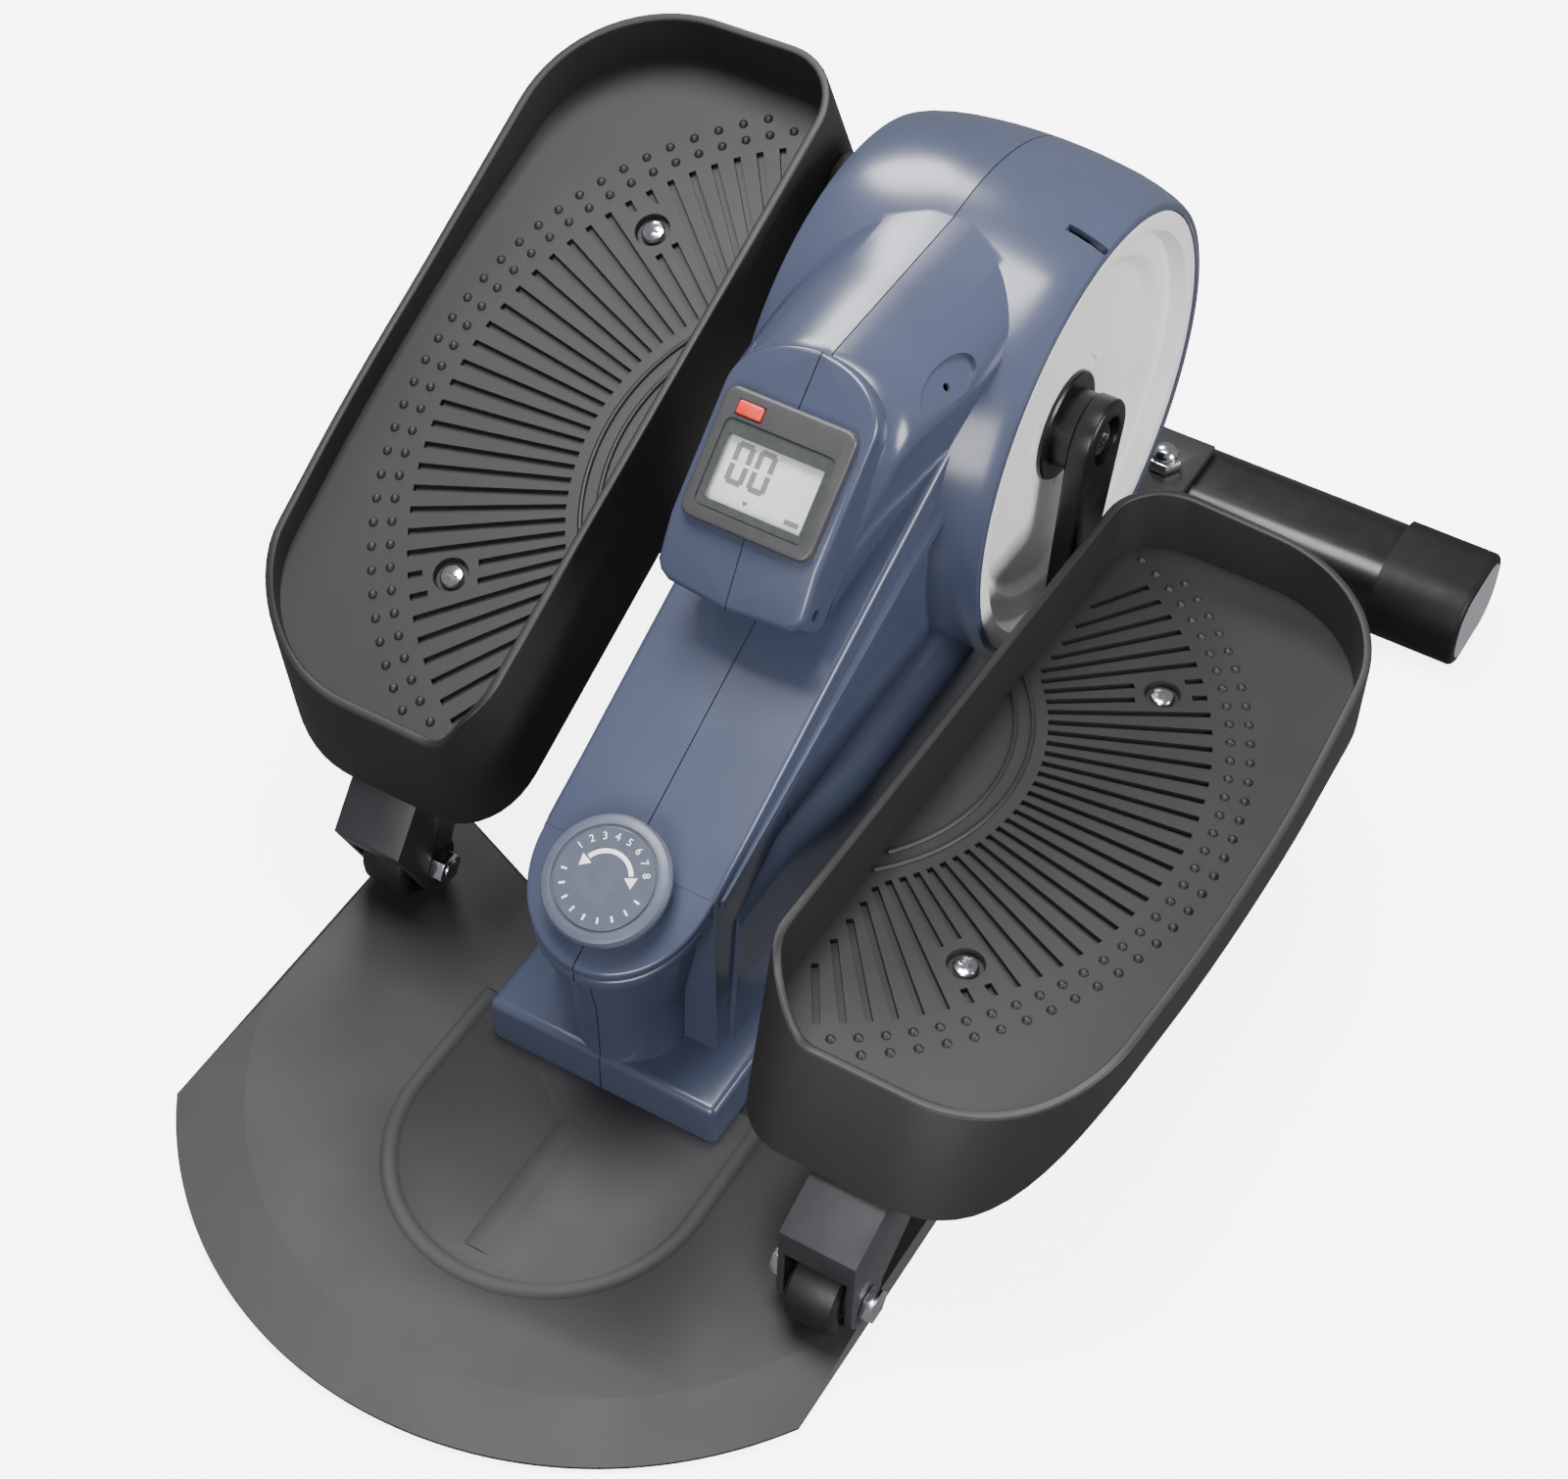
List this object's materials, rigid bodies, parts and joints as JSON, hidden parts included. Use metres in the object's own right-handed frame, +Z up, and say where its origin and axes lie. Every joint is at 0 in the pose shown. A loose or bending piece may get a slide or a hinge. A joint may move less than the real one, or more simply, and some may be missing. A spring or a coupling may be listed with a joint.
{
  "type": "under-desk elliptical stepper",
  "caption": "Under-desk elliptical stepper with foot trays rolling on a base plate, cranks on a drum-shaped body, a tension knob, a small display and a rear stabilizer.",
  "frame": {"origin": "centre of the footprint on the floor", "axes": "+X to the seated user's right, +Y away from the user (toward the rear stabilizer), +Z up"},
  "size_m": [0.4106, 0.6041, 0.2738],
  "materials": {
    "shell": "gloss blue-grey moulded plastic",
    "cover": "satin silver-grey plastic",
    "steel_dark": "dark grey textured paint",
    "steel_grey": "grey satin paint",
    "steel": "turned steel",
    "cast": "machined iron",
    "chrome": "bright plated",
    "crank": "satin black paint",
    "pulley": "matt moulded",
    "rubber": "matt black rubber",
    "roller": "matt black",
    "tray": "fine-grained black",
    "tube_black": "gloss black paint",
    "cap_black": "matt black",
    "knob": "satin grey",
    "label": "printed grey dial",
    "bezel": "satin grey",
    "lens": "clear window",
    "display": "pale grey-green display",
    "board": "circuit board",
    "button": "red moulded"
  },
  "bodies": {
    "chassis": {"base_plate": "steel_dark", "base_pad_left": "rubber", "base_pad_right": "rubber", "main_frame": "steel_dark", "side_plate_left": "steel_dark", "side_plate_right": "steel_dark", "rear_stabilizer": "tube_black", "stabilizer_cap_left": "cap_black", "stabilizer_cap_right": "cap_black", "stabilizer_bolt_left": "chrome", "stabilizer_bolt_right": "chrome", "left_shell": "shell", "right_shell": "shell", "side_cover_left": "cover", "side_cover_right": "cover", "console_bezel": "bezel", "console_lens": "lens", "display": "display", "console_board": "board", "crank_bearing_left": "steel", "crank_bearing_right": "steel", "flywheel_bearing_left": "steel", "flywheel_bearing_right": "steel", "drive_belt": "rubber", "speed_sensor": "bezel", "brake_pin": "steel", "return_spring": "steel", "tension_cable": "rubber"},
    "crank": {"crank_axle": "steel", "drive_pulley": "pulley", "crank_arm_left": "crank", "crank_arm_right": "crank", "crank_bolt_left": "chrome", "crank_bolt_right": "chrome"},
    "flywheel_set": {"flywheel": "cast", "flywheel_axle": "steel", "flywheel_pulley": "steel"},
    "knob_set": {"tension_knob": "knob", "knob_label": "label", "tension_spindle": "steel"},
    "brake": {"magnet_bracket": "steel", "brake_magnets": "cast"},
    "button": {"reset_button": "button"},
    "carriage_left": {"roller_axle_left": "chrome"},
    "wheel_left": {"roller_left": "roller"},
    "pedal_left": {"pedal_tray_left": "tray", "pedal_arm_left": "steel_dark", "pivot_bush_left": "cap_black", "tray_screw_left_front": "chrome", "tray_screw_left_rear": "chrome", "roller_bracket_left": "steel_grey"},
    "carriage_right": {"roller_axle_right": "chrome"},
    "wheel_right": {"roller_right": "roller"},
    "pedal_right": {"pedal_tray_right": "tray", "pedal_arm_right": "steel_dark", "pivot_bush_right": "cap_black", "tray_screw_right_front": "chrome", "tray_screw_right_rear": "chrome", "roller_bracket_right": "steel_grey"}
  },
  "joints": [
    {"name": "crank_turn", "type": "hinge", "parent": "chassis", "child": "crank", "pos_m": [0, 0.1507, 0.1557], "axis": [1, 0, 0], "range_deg": [0, 180]},
    {"name": "flywheel_spin", "type": "hinge", "parent": "chassis", "child": "flywheel_set", "pos_m": [0, 0.022, 0.098], "axis": [1, 0, 0], "range_deg": [0, 930]},
    {"name": "tension_turn", "type": "hinge", "parent": "chassis", "child": "knob_set", "pos_m": [0, -0.1218, 0.1147], "axis": [0, 0.4617, -0.887], "range_deg": [0, 270]},
    {"name": "brake_swing", "type": "hinge", "parent": "chassis", "child": "brake", "pos_m": [0, -0.02593, 0.05484], "axis": [-1, 0, 0], "range_deg": [0, 2.5]},
    {"name": "button_press", "type": "slide", "parent": "chassis", "child": "button", "axis": [0, 0.6743, -0.7385], "range_m": [0, 0.0009], "stiffness_N_per_m": 300},
    {"name": "carriage_slide_left", "type": "slide", "parent": "chassis", "child": "carriage_left", "axis": [0, 1, 0], "range_m": [-0.0901, 0]},
    {"name": "pedal_tilt_left", "type": "hinge", "parent": "carriage_left", "child": "pedal_left", "pos_m": [-0.1276, -0.08869, 0.0243], "axis": [1, 0, 0], "range_deg": [-27.2, 0]},
    {"name": "wheel_roll_left", "type": "hinge", "parent": "carriage_left", "child": "wheel_left", "pos_m": [-0.1276, -0.08869, 0.0243], "axis": [-1, 0, 0], "range_deg": [-288, 0]},
    {"name": "carriage_slide_right", "type": "slide", "parent": "chassis", "child": "carriage_right", "axis": [0, 1, 0], "range_m": [0, 0.0901]},
    {"name": "pedal_tilt_right", "type": "hinge", "parent": "carriage_right", "child": "pedal_right", "pos_m": [0.1276, -0.1783, 0.0243], "axis": [1, 0, 0], "range_deg": [0, 27.2]},
    {"name": "wheel_roll_right", "type": "hinge", "parent": "carriage_right", "child": "wheel_right", "pos_m": [0.1276, -0.1783, 0.0243], "axis": [-1, 0, 0], "range_deg": [0, 288]}
  ],
  "couplings": [
    {"joint": "flywheel_spin", "follows": "crank_turn", "ratio": 5.1482},
    {"joint": "brake_swing", "follows": "tension_turn", "ratio": 0.0092593},
    {"joint": "carriage_slide_left", "follows": "crank_turn", "m_per_rad": -0.028523},
    {"joint": "pedal_tilt_left", "follows": "crank_turn", "ratio": -0.14999},
    {"joint": "wheel_roll_left", "follows": "crank_turn", "ratio": -1.5846},
    {"joint": "carriage_slide_right", "follows": "crank_turn", "m_per_rad": 0.028523},
    {"joint": "pedal_tilt_right", "follows": "crank_turn", "ratio": 0.14999},
    {"joint": "wheel_roll_right", "follows": "crank_turn", "ratio": 1.5846}
  ]
}
